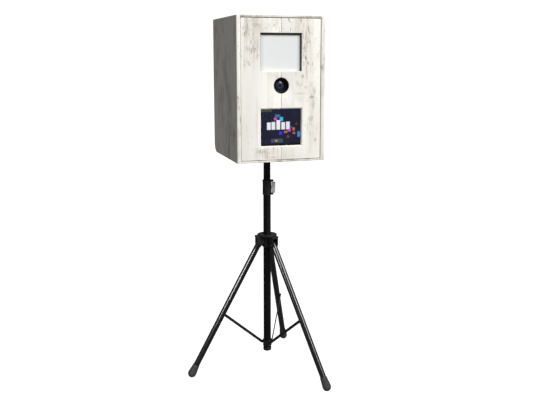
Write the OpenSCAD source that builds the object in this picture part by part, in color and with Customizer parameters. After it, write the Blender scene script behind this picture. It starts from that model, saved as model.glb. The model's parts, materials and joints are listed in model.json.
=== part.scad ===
// Open-air photo booth: a plank cabinet that holds a soft light, a camera and a
// touch screen, on a telescopic pole with a folding three-legged base.
// Millimetres. +Z is up and the front faces -Y. The origin is on the floor,
// under the middle of the outline. The back of the cabinet opens as a door.

/* [Cabinet] */
// Width of the cabinet
cab_w = 426; // [420:1:460]
// Depth of the cabinet
cab_d = 480; // [470:1:520]
// Height of the cabinet
cab_h = 672; // [668:1:700]
// Height of the cabinet's underside above the floor
cab_z = 1116; // [1105:1:1200]
// Thickness of the side panels
side_t = 19; // [16:0.5:22]
// Thickness of the top and bottom panels
skin_t = 9; // [8:0.5:12]
// Thickness of the front boards and the rear door
board_t = 12; // [10:0.5:14]
// How far the front boards sit behind the cabinet's front edge
board_inset = 3; // [1:0.5:5]
// Radius of the lower rear corner of the side panels
heel_r = 50; // [46:1:56]

/* [Front openings] */
// Width of the light window
window_w = 200; // [180:1:205]
// Height of the light window
window_h = 174; // [160:1:178]
// Lower edge of the light window above the cabinet's underside
window_low = 420; // [416:1:426]
// Width of the screen opening
screen_w = 196; // [180:1:200]
// Height of the screen opening
screen_h = 171; // [150:1:174]
// Lower edge of the screen opening above the cabinet's underside
screen_low = 76; // [74:1:80]
// Height of the lens above the cabinet's underside
lens_z = 355; // [352:1:358]
// Diameter of the lens hole
lens_hole_d = 74; // [72:0.5:78]

/* [Pole] */
// Outer diameter of the sliding upper tube
pole_d = 35; // [34:0.5:36]
// Outer diameter of the fixed lower tube
tube_d = 38; // [37.5:0.5:40]
// Height of the lower tube's bottom end above the floor
tube_low = 98; // [90:1:110]
// Height of the lower tube's top end above the floor
tube_top = 985; // [970:1:990]

/* [Folding base] */
// Distance of each foot's centre from the pole's axis
foot_reach = 398; // [370:1:440]
// Outer diameter of the leg tubes
leg_d = 30; // [28:0.5:30]
// Diameter of the rubber feet
foot_d = 42; // [38:0.5:42]
// Distance of the leg pivots from the pole's axis
pivot_r = 46; // [46:0.5:50]
// Height of the leg pivots above the floor
pivot_z = 662; // [640:1:680]
// How far down the leg the brace is fixed, as a part of the leg's length
brace_share = 0.54; // [0.5:0.01:0.56]

/* [Hidden] */
$fn = 64;

run_gap = 0.05;                       // radial clearance of a turning or sliding fit
slide_gap = 0.08;                     // radial clearance of the telescopic tubes
leg_turns = [180, 60, 300];           // directions of the legs, left, rear and front
LEFT = 0;
REAR = 1;
FRONT = 2;

// pole position that centres the outline over the origin
foot_edge = foot_reach + foot_d / 2;
right_edge = max(foot_reach / 2 + foot_d / 2, cab_w / 2);
pole_x = (foot_edge - right_edge) / 2;

// cabinet planes, in the cabinet's own frame
in_x = cab_w / 2 - side_t;            // inner face of a side panel
front_y = -cab_d / 2 + board_inset;   // front face of the boards
back_y = front_y + board_t;           // back face of the boards
ceil_z = cab_h - skin_t;
joint_gap = 1.5;                      // groove round the front boards
plank_gap = 0.8;                      // groove between the two boards
cleat = 18;
door_y = cab_d / 2 - 8 - board_t;     // inner face of the door
door_back = door_y + board_t;
door_left = -in_x + joint_gap;
door_right = in_x - 6;
door_low = heel_r + 4;
door_top = ceil_z - joint_gap;
heel_turn = 45;                       // slope of the service plate

// light
frame_t = 3;
pane_t = 3;
light_half_w = window_w / 2 + 12;
light_low = window_low - 12;
light_top = window_low + window_h + 12;
pane_y = back_y + frame_t;
tray_y = pane_y + pane_t;
tray_depth = 69;
tray_t = 2;

// camera
lens_front_y = back_y + 3;
camera_front_y = -150;
camera_back_y = -92;
camera_floor = lens_z - 45;
camera_top = lens_z + 37;
camera_half_w = 60;
screw_y = -120;
barrel_d = 60;
button_x = -42;
button_y = -128;

// screen
glass_half_w = screen_w / 2 + 14;
glass_low = screen_low - 14;
glass_top = screen_low + screen_h + 14;
chassis_y = back_y + 3;
chassis_depth = 32;
lower_cleat_z = 20;
middle_cleat_z = glass_top + 5;
upper_cleat_z = light_top + 4;

// equipment on the cabinet's floor
kit_front = -70;
kit_back = 50;
pc_left = -186;
pc_right = -72;
pc_top = skin_t + 46;
psu_left = 74;
psu_right = 186;
psu_top = skin_t + 41;
pc_button_x = -100;
pc_button_y = 20;

// socket and pole
socket_top = 116;
socket_roof = 4;
flange_half = 60;
flange_t = 4;
bolt_at = 48;
pole_wall = 2;
pole_low = 340;
pole_top = cab_z + socket_top - socket_roof;
plug_t = 2;

// clamp collar
collar_low = tube_top - 68;
collar_top = tube_top + 8;
collar_d = 46;
clamp_turn = -20;                     // direction of the clamp knob
lug_top_t = 9;
lug_low_t = 7;
clamp_z = (collar_low + lug_low_t + collar_top - lug_top_t) / 2;
stud_d = 8;

// hub
hub_top = pivot_z + 52;
hub_low = pivot_z - 14;
sleeve_d = 50;
cheek_in = leg_d / 2 + 0.6;
cheek_t = 5;
bolt_d = 8;
hub_knob_turn = 120;
hub_knob_z = pivot_z + 22;

// legs and braces, worked out from the pivots
foot_z = foot_d / 2 - 4;              // the foot's ball is flat where it stands
leg_tilt = atan((foot_reach - pivot_r) / (pivot_z - foot_z));
leg_len = norm([foot_reach - pivot_r, pivot_z - foot_z]);
leg_wall = 1.5;
leg_head = 12;
brace_at = brace_share * leg_len;
brace_top_r = pivot_r + brace_at * sin(leg_tilt);
brace_top_z = pivot_z - brace_at * cos(leg_tilt);
brace_low_r = 27;
brace_low_z = tube_low + 39;
brace_w = 14;
brace_t = 3;
brace_y = -(leg_d / 2 + 5.2);         // outer face of a brace, beside its leg
brace_len = norm([brace_top_r - brace_low_r, brace_top_z - brace_low_z]);
brace_rise = atan((brace_top_z - brace_low_z) / (brace_top_r - brace_low_r));
rivet_d = 6;
rivet_head_d = 10;
ear_t = 4;
ear_y = brace_y + brace_t + 0.4;      // face of a collar ear towards its brace

// ---------- helpers ----------

module block(low, high) {
    translate(low) cube(high - low);
}

module x_rod(d, x0, x1) {
    translate([x0, 0, 0]) rotate([0, 90, 0]) cylinder(d = d, h = x1 - x0);
}

module y_rod(d, y0, y1) {
    translate([0, y1, 0]) rotate([90, 0, 0]) cylinder(d = d, h = y1 - y0);
}

module z_rod(d, z0, z1) {
    translate([0, 0, z0]) cylinder(d = d, h = z1 - z0);
}

module on_pole() {
    translate([pole_x, 0, 0]) children();
}

module in_cabinet() {
    translate([pole_x, 0, cab_z]) children();
}

module leg_frame(k) {
    on_pole() rotate([0, 0, leg_turns[k]]) translate([pivot_r, 0, pivot_z])
        rotate([0, -leg_tilt, 0]) children();
}

// the service plate's frame: Y runs up the slope and Z points into the cabinet
module on_service_plate() {
    in_cabinet() translate([0, cab_d / 2 - heel_r / 2, heel_r / 2])
        rotate([heel_turn, 0, 0]) children();
}

// what a rounded corner of radius r takes off a square corner at the origin
module corner_waste(r) {
    difference() {
        translate([-1, -1]) square(r + 1);
        translate([r, r]) circle(r);
    }
}

// a round lead, straight from point to point, with a ball a little larger at each bend
module lead(points, d) {
    for (i = [1 : len(points) - 1]) {
        run = points[i] - points[i - 1];
        translate(points[i - 1])
            rotate([0, acos(run.z / norm(run)), atan2(run.y, run.x)])
            cylinder(d = d, h = norm(run));
    }
    for (i = [1 : len(points) - 2])
        translate(points[i]) sphere(d = d + 1);
}

// ---------- cabinet ----------

// side view of the cabinet, drawn as Y and Z
module side_outline() {
    difference() {
        translate([-cab_d / 2, 0]) square([cab_d, cab_h]);
        translate([cab_d / 2, 0]) mirror([1, 0]) corner_waste(heel_r);
        translate([cab_d / 2, cab_h]) rotate(180) corner_waste(10);
        translate([-cab_d / 2, 0]) corner_waste(3);
        translate([-cab_d / 2, cab_h]) mirror([0, 1]) corner_waste(4);
    }
}

// top view of the cabinet, with its two front corners eased
module plan_outline() {
    difference() {
        translate([-cab_w / 2, -cab_d / 2]) square([cab_w, cab_d]);
        translate([-cab_w / 2, -cab_d / 2]) corner_waste(4);
        translate([cab_w / 2, -cab_d / 2]) mirror([1, 0]) corner_waste(4);
    }
}

module side_slab(x0, x1) {
    translate([x0, 0, 0]) rotate([90, 0, 90]) linear_extrude(x1 - x0) side_outline();
}

module side_panel_left() {
    color("antiquewhite") in_cabinet() intersection() {
        side_slab(-cab_w / 2, -in_x);
        linear_extrude(cab_h) plan_outline();
    }
}

module side_panel_right() {
    color("antiquewhite") in_cabinet() intersection() {
        side_slab(in_x, cab_w / 2);
        linear_extrude(cab_h) plan_outline();
    }
}

module top_panel() {
    color("antiquewhite") in_cabinet() intersection() {
        side_slab(-in_x, in_x);
        block([-in_x, -cab_d / 2, ceil_z], [in_x, cab_d / 2, cab_h]);
    }
}

module bottom_panel() {
    color("antiquewhite") in_cabinet() difference() {
        intersection() {
            side_slab(-in_x, in_x);
            block([-in_x, -cab_d / 2, 0], [in_x, cab_d / 2 - heel_r - 4, skin_t]);
        }
        z_rod(pole_d + 2, -1, skin_t + 1);
        for (x = [-bolt_at, bolt_at], y = [-bolt_at, bolt_at])
            translate([x, y, 0]) z_rod(rivet_d, -1, skin_t + 1);
    }
}

// a square opening w wide and h high whose front edges are bevelled by c
module bevelled_opening(w, low, h, c) {
    block([-w / 2, front_y - 1, low], [w / 2, back_y + 1, low + h]);
    intersection() {
        translate([0, 0, low - c - 1]) linear_extrude(h + 2 * c + 2)
            polygon([[-w / 2 - c - 1, front_y - 1], [w / 2 + c + 1, front_y - 1],
                     [w / 2, front_y + c], [-w / 2, front_y + c]]);
        translate([-w / 2 - c - 1, 0, 0]) rotate([90, 0, 90]) linear_extrude(w + 2 * c + 2)
            polygon([[front_y - 1, low - c - 1], [front_y - 1, low + h + c + 1],
                     [front_y + c, low + h], [front_y + c, low]]);
    }
}

module front_board(x0, x1) {
    color("antiquewhite") in_cabinet() difference() {
        block([x0, front_y, skin_t + joint_gap], [x1, back_y, ceil_z - joint_gap]);
        bevelled_opening(window_w, window_low, window_h, 1);
        bevelled_opening(screen_w, screen_low, screen_h, 5);
        translate([0, 0, lens_z]) y_rod(lens_hole_d, front_y - 1, back_y + 1);
        translate([0, front_y, cab_h / 2]) rotate([0, 0, 45])
            cube([2.4, 2.4, cab_h], center = true);
    }
}

module front_board_left() {
    front_board(-in_x + joint_gap, -plank_gap / 2);
}

module front_board_right() {
    front_board(plank_gap / 2, in_x - joint_gap);
}

// the cross pieces are cut a little short of the uprights
module cleats() {
    cross_x = in_x - cleat - 0.5;
    color("burlywood") in_cabinet() {
        for (z = [lower_cleat_z, middle_cleat_z, upper_cleat_z])
            block([-cross_x, back_y, z], [cross_x, back_y + cleat, z + 22]);
        for (side = [-1, 1])
            translate([side * (in_x - cleat / 2), 0, 0])
                block([-cleat / 2, back_y, skin_t], [cleat / 2, back_y + cleat, ceil_z]);
        block([-in_x, door_y - 2 - cleat, door_low + 6],
              [-in_x + cleat, door_y - 2, ceil_z]);
        block([in_x - cleat, door_y - 16 - cleat, door_low + 6],
              [in_x, door_y - 16, ceil_z]);
    }
}

inlet_x = -60;
switch_x = 10;

module service_plate() {
    color("dimgray") on_service_plate() difference() {
        block([-in_x, -34, 0], [in_x, 34, 3]);
        translate([inlet_x, 0, 0]) block([-14, -10, -1], [14, 10, 4]);
        translate([switch_x, 0, 0]) block([-11, -7, -1], [11, 7, 4]);
    }
}

module mains_inlet() {
    color("black") on_service_plate() translate([inlet_x, 0, 0]) {
        difference() {
            union() {
                block([-24, -14, -3], [24, 14, 0]);
                block([-14, -10, 0], [14, 10, 28]);
            }
            block([-12, -8, -4], [12, 8, 15]);
        }
        for (x = [-7, 0, 7])
            translate([x, x == 0 ? 2 : -2, 0]) block([-1, -2, 1], [1, 2, 15]);
    }
}

module switch_frame() {
    color("black") on_service_plate() translate([switch_x, 0, 0]) difference() {
        union() {
            block([-14, -10, -2.5], [14, 10, 0]);
            block([-11, -7, 0], [11, 7, 20]);
        }
        block([-9, -5, -3], [9, 5, 14]);
        translate([0, 0, 2]) y_rod(3, -7.5, 7.5);
    }
}

// a rocker that stands proud at one end
module power_rocker() {
    color("firebrick") on_service_plate() translate([switch_x, 0, 2]) {
        y_rod(2.9, -6.8, 6.8);
        rotate([0, 6, 0]) block([-8, -4.6, -4], [8, 4.6, 2]);
    }
}

// ---------- rear door ----------

hinge_x = in_x - 4;
hinge_y = cab_d / 2 - 4;
hinge_d = 8;
hinge_len = 60;
hinge_lows = [110, 510];
pin_d = 4;
vent_z = 590;
fan_bore = 76;
fan_half = 40;
lock_x = -162;
lock_z = 350;
plug_d = 12;

module rear_door() {
    color("antiquewhite") in_cabinet() difference() {
        block([door_left, door_y, door_low], [door_right, door_back, door_top]);
        translate([0, 0, vent_z]) y_rod(fan_bore, door_y - 1, door_back + 1);
        translate([lock_x, 0, lock_z]) y_rod(19, door_y - 1, door_back + 1);
    }
}

// one third of the hinge's knuckle, numbered from the bottom
module knuckle(third) {
    step = hinge_len / 3;
    translate([hinge_x, hinge_y, 0])
        z_rod(hinge_d, third * step + 0.2, (third + 1) * step - 0.2);
}

module hinge_bore(d) {
    translate([hinge_x, hinge_y, 0]) z_rod(d, -1, hinge_len + 1);
}

module hinge_frame_leaves() {
    step = hinge_len / 3;
    color("silver") in_cabinet() for (low = hinge_lows)
        translate([0, 0, low]) difference() {
            union() {
                block([in_x - 2, hinge_y - 30, 0.2], [in_x, hinge_y - 5, hinge_len - 0.2]);
                for (third = [0, 2]) {
                    knuckle(third);
                    block([in_x - 2, hinge_y - 6, third * step + 0.2],
                          [in_x, hinge_y, (third + 1) * step - 0.2]);
                }
            }
            hinge_bore(pin_d);
        }
}

module hinge_door_leaves() {
    step = hinge_len / 3;
    color("silver") in_cabinet() for (low = hinge_lows)
        translate([0, 0, low]) difference() {
            union() {
                block([hinge_x - 32, door_back, 0.2],
                      [hinge_x - 4.5, door_back + 2, hinge_len - 0.2]);
                knuckle(1);
                block([hinge_x - 5, door_back, step + 0.2],
                      [hinge_x, door_back + 2, 2 * step - 0.2]);
            }
            hinge_bore(pin_d + 2 * run_gap);
        }
}

module hinge_pins() {
    color("silver") in_cabinet() for (low = hinge_lows)
        translate([hinge_x, hinge_y, low]) {
            z_rod(pin_d, 0.2, hinge_len - 0.2);
            z_rod(6, hinge_len - 0.2, hinge_len + 1.8);
        }
}

module lock_body() {
    color("silver") in_cabinet() translate([lock_x, 0, lock_z]) difference() {
        union() {
            y_rod(26, door_back, door_back + 3);
            y_rod(19, door_y - 20, door_back);
        }
        y_rod(plug_d + 2 * run_gap, door_y - 21, door_back + 4);
    }
}

// unlocked: the cam hangs down, clear of the cleat
module lock_cam() {
    color("gray") in_cabinet() translate([lock_x, 0, lock_z]) difference() {
        union() {
            y_rod(plug_d, door_y - 24, door_back + 3);
            y_rod(14, door_y - 23.5, door_y - 20.5);
            block([-7, door_y - 23.5, -24], [7, door_y - 20.5, 0]);
        }
        block([-0.7, door_back + 1, -4], [0.7, door_back + 4, 4]);
    }
}

module door_vent() {
    slot = 6;
    pitch = 10;
    color("dimgray") in_cabinet() translate([0, 0, vent_z]) difference() {
        block([-50, door_back, -50], [50, door_back + 2, 50]);
        for (i = [-3 : 3])
            block([-32, door_back - 1, i * pitch - slot / 2],
                  [32, door_back + 3, i * pitch + slot / 2]);
    }
}

module fan_frame() {
    fan_y = door_y - 25;
    color("black") in_cabinet() translate([0, 0, vent_z]) {
        difference() {
            block([-fan_half, fan_y, -fan_half], [fan_half, door_y, fan_half]);
            y_rod(fan_bore, fan_y - 1, door_y + 1);
        }
        difference() {
            union() {
                y_rod(30, fan_y, fan_y + 3);
                for (a = [45 : 90 : 315]) rotate([0, a, 0])
                    block([12, fan_y, -2], [fan_bore / 2 + 1, fan_y + 3, 2]);
            }
            y_rod(4 + 2 * run_gap, fan_y - 1, fan_y + 4);
        }
    }
}

module fan_rotor() {
    fan_y = door_y - 25;
    blades = 7;
    color("black") in_cabinet() translate([0, fan_y + 13, vent_z]) {
        y_rod(30, -8, 9);
        y_rod(4, -13, -7);
        for (i = [0 : blades - 1]) rotate([0, i * 360 / blades, 0])
            translate([24, 0, 0]) rotate([35, 0, 0])
            cube([25, 1.6, 20], center = true);
    }
}

// ---------- light ----------

module light_tray() {
    back = tray_y + tray_depth;
    color("white") in_cabinet() {
        difference() {
            block([-light_half_w, tray_y, light_low], [light_half_w, back, light_top]);
            block([-light_half_w + tray_t, tray_y - 1, light_low + tray_t],
                  [light_half_w - tray_t, back - tray_t, light_top - tray_t]);
        }
        for (x = [-70, 70])
            block([x - 12, back_y + cleat, light_top - tray_t],
                  [x + 12, back_y + cleat + tray_t, upper_cleat_z + 20]);
    }
}

module led_panel() {
    board_y = tray_y + tray_depth - tray_t - 4;
    color("gold") in_cabinet() {
        block([-90, board_y, light_low + 17], [90, board_y + 4, light_top - 17]);
        for (x = [-75 : 30 : 75], z = [-60 : 30 : 60])
            translate([x, 0, (light_low + light_top) / 2 + z])
                block([-3, board_y - 1.5, -3], [3, board_y, 3]);
    }
}

module diffuser() {
    color("whitesmoke") in_cabinet()
        block([-light_half_w + 4, pane_y, light_low + 2],
              [light_half_w - 4, tray_y, light_top - 2]);
}

// its opening is set low, so its upper rail shows in the window
module diffuser_frame() {
    color("black") in_cabinet() difference() {
        block([-light_half_w, back_y, light_low], [light_half_w, pane_y, light_top]);
        block([-window_w / 2 + 4, back_y - 1, window_low - 4],
              [window_w / 2 - 4, pane_y + 1, window_low + window_h - 9]);
    }
}

// ---------- camera ----------

module camera_bracket() {
    foot_y = back_y + cleat;
    color("gray") in_cabinet() difference() {
        union() {
            block([-38, foot_y, middle_cleat_z + 2], [38, foot_y + 4, camera_floor]);
            block([-38, foot_y, camera_floor - 4], [38, camera_back_y - 4, camera_floor]);
        }
        translate([0, screw_y, 0]) z_rod(6.6, camera_floor - 5, camera_floor + 1);
    }
}

module camera_screw() {
    color("silver") in_cabinet() translate([0, screw_y, camera_floor]) {
        z_rod(24, -14, -5);
        z_rod(6, -5, 7);
    }
}

module camera_body() {
    color("black") in_cabinet() difference() {
        union() {
            block([-camera_half_w, camera_front_y, camera_floor],
                  [camera_half_w, camera_back_y, camera_top]);
            translate([-camera_half_w + 12, camera_front_y, 0])
                z_rod(24, camera_floor, camera_top);
            block([-18, camera_front_y + 4, camera_top],
                  [18, camera_back_y - 6, camera_top + 11]);
            block([-10, camera_front_y + 16, camera_top + 11],
                  [10, camera_back_y - 12, camera_top + 13]);
        }
        translate([0, screw_y, 0]) z_rod(6 + 2 * run_gap, camera_floor - 1, camera_floor + 8);
        translate([button_x, button_y, 0])
            z_rod(10 + 2 * run_gap, camera_top - 5, camera_top + 1);
        block([-34, camera_back_y - 1.5, camera_floor + 12],
              [26, camera_back_y + 1, camera_floor + 56]);
    }
}

module shutter_button() {
    color("silver") in_cabinet() translate([button_x, button_y, camera_top])
        z_rod(10, -3, 2.5);
}

module lens_barrel() {
    color("black") in_cabinet() translate([0, 0, lens_z]) difference() {
        union() {
            y_rod(64, lens_front_y, lens_front_y + 18);
            y_rod(barrel_d, lens_front_y + 17, camera_front_y);
            y_rod(66, camera_front_y - 10, camera_front_y);
        }
        y_rod(52, lens_front_y - 1, lens_front_y + 12);
    }
}

module focus_ring() {
    ring_y = lens_front_y + 21;
    ring_w = 26;
    ribs = 24;
    color("dimgray") in_cabinet() translate([0, 0, lens_z]) difference() {
        union() {
            y_rod(66, ring_y, ring_y + ring_w);
            for (i = [0 : ribs - 1]) rotate([0, i * 360 / ribs, 0])
                block([32, ring_y + 4, -1.5], [34, ring_y + ring_w - 4, 1.5]);
        }
        y_rod(barrel_d + 2 * run_gap, ring_y - 1, ring_y + ring_w + 1);
    }
}

// a domed front element
module lens_glass() {
    dome_r = 50;
    color("lightsteelblue") in_cabinet() translate([0, 0, lens_z]) intersection() {
        y_rod(52, lens_front_y, lens_front_y + 12);
        translate([0, lens_front_y + 3 + dome_r, 0]) sphere(r = dome_r, $fn = 200);
    }
}

module lens_shroud() {
    color("black") in_cabinet() translate([0, 0, lens_z]) difference() {
        union() {
            y_rod(lens_hole_d - 0.4, front_y + 2, back_y + 1);
            y_rod(90, back_y, back_y + 3);
            y_rod(lens_hole_d - 0.4, back_y, back_y + 16);
        }
        y_rod(68, front_y, back_y + 20);
    }
}

// ---------- screen and equipment ----------

module screen_glass() {
    color("midnightblue") in_cabinet()
        block([-glass_half_w, back_y, glass_low], [glass_half_w, chassis_y, glass_top]);
}

module screen_chassis() {
    rear = chassis_y + chassis_depth;
    ear_back = back_y + cleat;
    color("dimgray") in_cabinet() difference() {
        union() {
            block([-glass_half_w, chassis_y, glass_low], [glass_half_w, rear, glass_top]);
            for (x = [-80, 80]) {
                block([x - 12, ear_back, glass_top - 1],
                      [x + 12, ear_back + 3, middle_cleat_z + 18]);
                block([x - 12, ear_back, lower_cleat_z + 4],
                      [x + 12, ear_back + 3, glass_low + 1]);
            }
        }
        for (i = [-4 : 4])
            translate([i * 12, 0, 0])
                block([-3, rear - 3, glass_top - 60], [3, rear + 1, glass_top - 24]);
    }
}

module mini_computer() {
    color("darkslategray") in_cabinet() difference() {
        block([pc_left, kit_front, skin_t], [pc_right, kit_back, pc_top]);
        for (i = [0 : 7])
            translate([0, kit_front + 30 + i * 9, 0])
                block([pc_right - 2, 0, skin_t + 14], [pc_right + 1, 4, pc_top - 12]);
        translate([pc_button_x, pc_button_y, 0])
            z_rod(10 + 2 * run_gap, pc_top - 4, pc_top + 1);
    }
}

module computer_button() {
    color("silver") in_cabinet() translate([pc_button_x, pc_button_y, pc_top])
        z_rod(10, -2.5, 1.5);
}

module power_supply() {
    color("lightgray") in_cabinet() difference() {
        block([psu_left, kit_front, skin_t], [psu_right, kit_back, psu_top]);
        for (x = [0 : 6], y = [0 : 6])
            translate([psu_left + 26 + x * 10, kit_front + 30 + y * 10, 0])
                z_rod(5, psu_top - 2, psu_top + 1);
    }
}

module wiring() {
    screen_rear = chassis_y + chassis_depth;
    tray_rear = tray_y + tray_depth;
    plate_y = cab_d / 2 - heel_r / 2;
    inlet_in = 28 * sin(heel_turn);
    color("black") in_cabinet() {
        // mains lead from the inlet to the power supply
        lead([[inlet_x, plate_y - inlet_in, heel_r / 2 + inlet_in],
              [inlet_x, plate_y - inlet_in - 10, heel_r / 2 + inlet_in + 10],
              [inlet_x, 110, 50], [130, 110, 30], [130, kit_back, 30]], 7);
        // low-voltage lead from the power supply to the light
        lead([[150, kit_front, 30], [150, -110, 30], [150, -110, 500],
              [60, -110, 500], [60, tray_rear, 500]], 5);
        // screen lead
        lead([[-60, screen_rear, 140], [-60, -150, 140], [-127, -150, 30],
              [-127, kit_front, 30]], 6);
        // camera lead
        lead([[-camera_half_w, -110, lens_z - 5], [-90, -110, lens_z - 5],
              [-90, -110, 85], [-90, kit_front + 12, 85], [-90, kit_front + 12, pc_top]], 5);
    }
}

// ---------- pole socket and pole ----------

module pole_socket() {
    bore = pole_d + 2 * run_gap;
    color("black") in_cabinet() difference() {
        union() {
            block([-flange_half, -flange_half, skin_t],
                  [flange_half, flange_half, skin_t + flange_t]);
            z_rod(45, skin_t, socket_top);
            for (a = [0 : 90 : 270]) rotate([0, 0, a])
                translate([0, 2, skin_t]) rotate([90, 0, 0]) linear_extrude(4)
                polygon([[20, 0], [54, 0], [54, flange_t], [24, 70], [20, 70]]);
        }
        z_rod(bore, skin_t - 1, socket_top - socket_roof);
        for (x = [-bolt_at, bolt_at], y = [-bolt_at, bolt_at])
            translate([x, y, 0]) z_rod(rivet_d, skin_t - 1, skin_t + flange_t + 1);
    }
}

module socket_bolts() {
    color("silver") in_cabinet()
        for (x = [-bolt_at, bolt_at], y = [-bolt_at, bolt_at])
            translate([x, y, 0]) {
                z_rod(12, -2, 0);
                z_rod(rivet_d, 0, skin_t + flange_t + 7);
                translate([0, 0, skin_t + flange_t]) cylinder(d = 11, h = 5, $fn = 6);
            }
}

module upper_tube() {
    color("black") on_pole() difference() {
        z_rod(pole_d, pole_low, pole_top - plug_t);
        z_rod(pole_d - 2 * pole_wall, pole_low - 1, pole_top);
    }
}

module pole_plugs() {
    inner = pole_d - 2 * pole_wall;
    color("dimgray") on_pole() {
        z_rod(pole_d, pole_top - plug_t, pole_top);
        z_rod(inner, pole_top - plug_t - 20, pole_top - plug_t);
        z_rod(pole_d - 0.4, pole_low - plug_t, pole_low);
        z_rod(inner, pole_low, pole_low + 20);
    }
}

module lower_tube() {
    color("black") on_pole() difference() {
        z_rod(tube_d, tube_low, tube_top);
        z_rod(pole_d + 2 * slide_gap, tube_low - 1, tube_top + 1);
        rotate([0, 0, clamp_turn]) translate([0, 0, clamp_z])
            x_rod(stud_d + 1, 0, tube_d);
    }
}

module end_cap() {
    color("black") on_pole() difference() {
        z_rod(tube_d + 4, tube_low - 4, tube_low + 14);
        z_rod(tube_d, tube_low, tube_low + 15);
    }
}

// ---------- clamp ----------

module clamp_collar() {
    color("black") on_pole() difference() {
        union() {
            z_rod(collar_d, collar_low, collar_top);
            rotate([0, 0, clamp_turn]) {
                block([16, -9, collar_top - lug_top_t], [33, 9, collar_top]);
                block([16, -9, collar_low], [33, 9, collar_low + lug_low_t]);
            }
        }
        z_rod(tube_d, collar_low - 1, tube_top);
        z_rod(pole_d + 2 * slide_gap, tube_top - 1, collar_top + 1);
        rotate([0, 0, clamp_turn]) translate([0, 0, clamp_z])
            x_rod(stud_d + 2 * run_gap, 0, collar_d);
    }
}

// a bar knob that stands upright when the clamp is tight
module clamp_knob() {
    bar_w = 20;
    bar_h = 56;
    color("silver") on_pole() rotate([0, 0, clamp_turn]) translate([0, 0, clamp_z]) {
        x_rod(stud_d, pole_d / 2 + 0.4, collar_d / 2 + 2);
        translate([collar_d / 2 + 0.6, 0, 0]) rotate([90, 0, 90]) linear_extrude(19) {
            square([bar_w, bar_h - bar_w], center = true);
            for (end = [-1, 1])
                translate([0, end * (bar_h - bar_w) / 2]) circle(d = bar_w);
        }
    }
}

// ---------- folding base ----------

module brace_collar() {
    ring_low = brace_low_z - 17;
    color("black") on_pole() difference() {
        union() {
            z_rod(tube_d + 8, ring_low, ring_low + 32);
            for (turn = leg_turns) rotate([0, 0, turn]) translate([0, 0, brace_low_z]) {
                block([10, ear_y, -9], [brace_low_r, ear_y + ear_t, 9]);
                translate([brace_low_r, 0, 0]) y_rod(14, ear_y, ear_y + ear_t);
            }
        }
        z_rod(tube_d, ring_low - 1, ring_low + 33);
        for (turn = leg_turns) rotate([0, 0, turn]) translate([brace_low_r, 0, brace_low_z])
            y_rod(rivet_d, ear_y - 1, ear_y + ear_t + 1);
    }
}

module collar_rivets() {
    outer = brace_y - 0.2;
    color("silver") on_pole() for (turn = leg_turns)
        rotate([0, 0, turn]) translate([brace_low_r, 0, brace_low_z]) {
            y_rod(rivet_d, outer, ear_y + ear_t);
            y_rod(rivet_head_d, outer - 2, outer);
            y_rod(rivet_head_d, ear_y + ear_t, ear_y + ear_t + 2);
        }
}

module hub() {
    cheek_out = cheek_in + cheek_t;
    color("black") on_pole() difference() {
        union() {
            z_rod(sleeve_d, hub_low, hub_top);
            z_rod(100, hub_top - 8, hub_top);
            for (turn = leg_turns) rotate([0, 0, turn]) {
                block([20, -cheek_out, hub_top - 18], [60, cheek_out, hub_top - 8]);
                for (side = [-1, 1]) translate([0, side * (cheek_in + cheek_t / 2), 0]) {
                    block([15, -cheek_t / 2, pivot_z + 14], [60, cheek_t / 2, hub_top - 8]);
                    block([pivot_r - 12, -cheek_t / 2, pivot_z],
                          [pivot_r + 12, cheek_t / 2, pivot_z + 14]);
                    translate([pivot_r, 0, pivot_z]) y_rod(24, -cheek_t / 2, cheek_t / 2);
                }
            }
            rotate([0, 0, hub_knob_turn]) translate([0, 0, hub_knob_z])
                x_rod(20, 20, 32);
        }
        z_rod(tube_d + 2 * run_gap, hub_low - 1, hub_top + 1);
        for (turn = leg_turns) rotate([0, 0, turn]) translate([pivot_r, 0, pivot_z])
            y_rod(bolt_d, -cheek_out - 1, cheek_out + 1);
        rotate([0, 0, hub_knob_turn]) translate([0, 0, hub_knob_z])
            x_rod(stud_d + 2 * run_gap, 10, 33);
    }
}

module hub_bolts() {
    reach = cheek_in + cheek_t;
    color("silver") on_pole() for (turn = leg_turns)
        rotate([0, 0, turn]) translate([pivot_r, 0, pivot_z]) {
            y_rod(bolt_d, -reach, reach);
            y_rod(13, -reach - 4, -reach);
            y_rod(13, reach, reach + 4);
        }
}

module hub_knob() {
    lobes = 5;
    color("black") on_pole() rotate([0, 0, hub_knob_turn]) translate([0, 0, hub_knob_z]) {
        x_rod(stud_d, tube_d / 2 + 0.4, 36);
        x_rod(26, 34, 52);
        for (i = [0 : lobes - 1]) rotate([i * 360 / lobes, 0, 0])
            translate([0, 0, 11]) x_rod(11, 35, 51);
    }
}

module leg(k) {
    color("black") difference() {
        leg_frame(k) {
            z_rod(leg_d, -leg_len, leg_head);
            translate([0, 0, -brace_at]) y_rod(brace_w, brace_y + brace_t + 0.4, 0);
        }
        leg_frame(k) {
            z_rod(leg_d - 2 * leg_wall, -leg_len - 1, -30);
            y_rod(bolt_d + 2 * run_gap, -leg_d, leg_d);
        }
    }
}

module foot(k) {
    sleeve = 40;
    color("black") difference() {
        leg_frame(k) translate([0, 0, -leg_len]) {
            sphere(d = foot_d);
            z_rod(foot_d, 0, sleeve);
            translate([0, 0, sleeve]) cylinder(d1 = foot_d, d2 = leg_d + 4, h = 8);
        }
        leg_frame(k) z_rod(leg_d, -leg_len, -leg_len + sleeve + 9);
        translate([-1000, -1000, -100]) cube([2000, 2000, 100]);
    }
}

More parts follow.
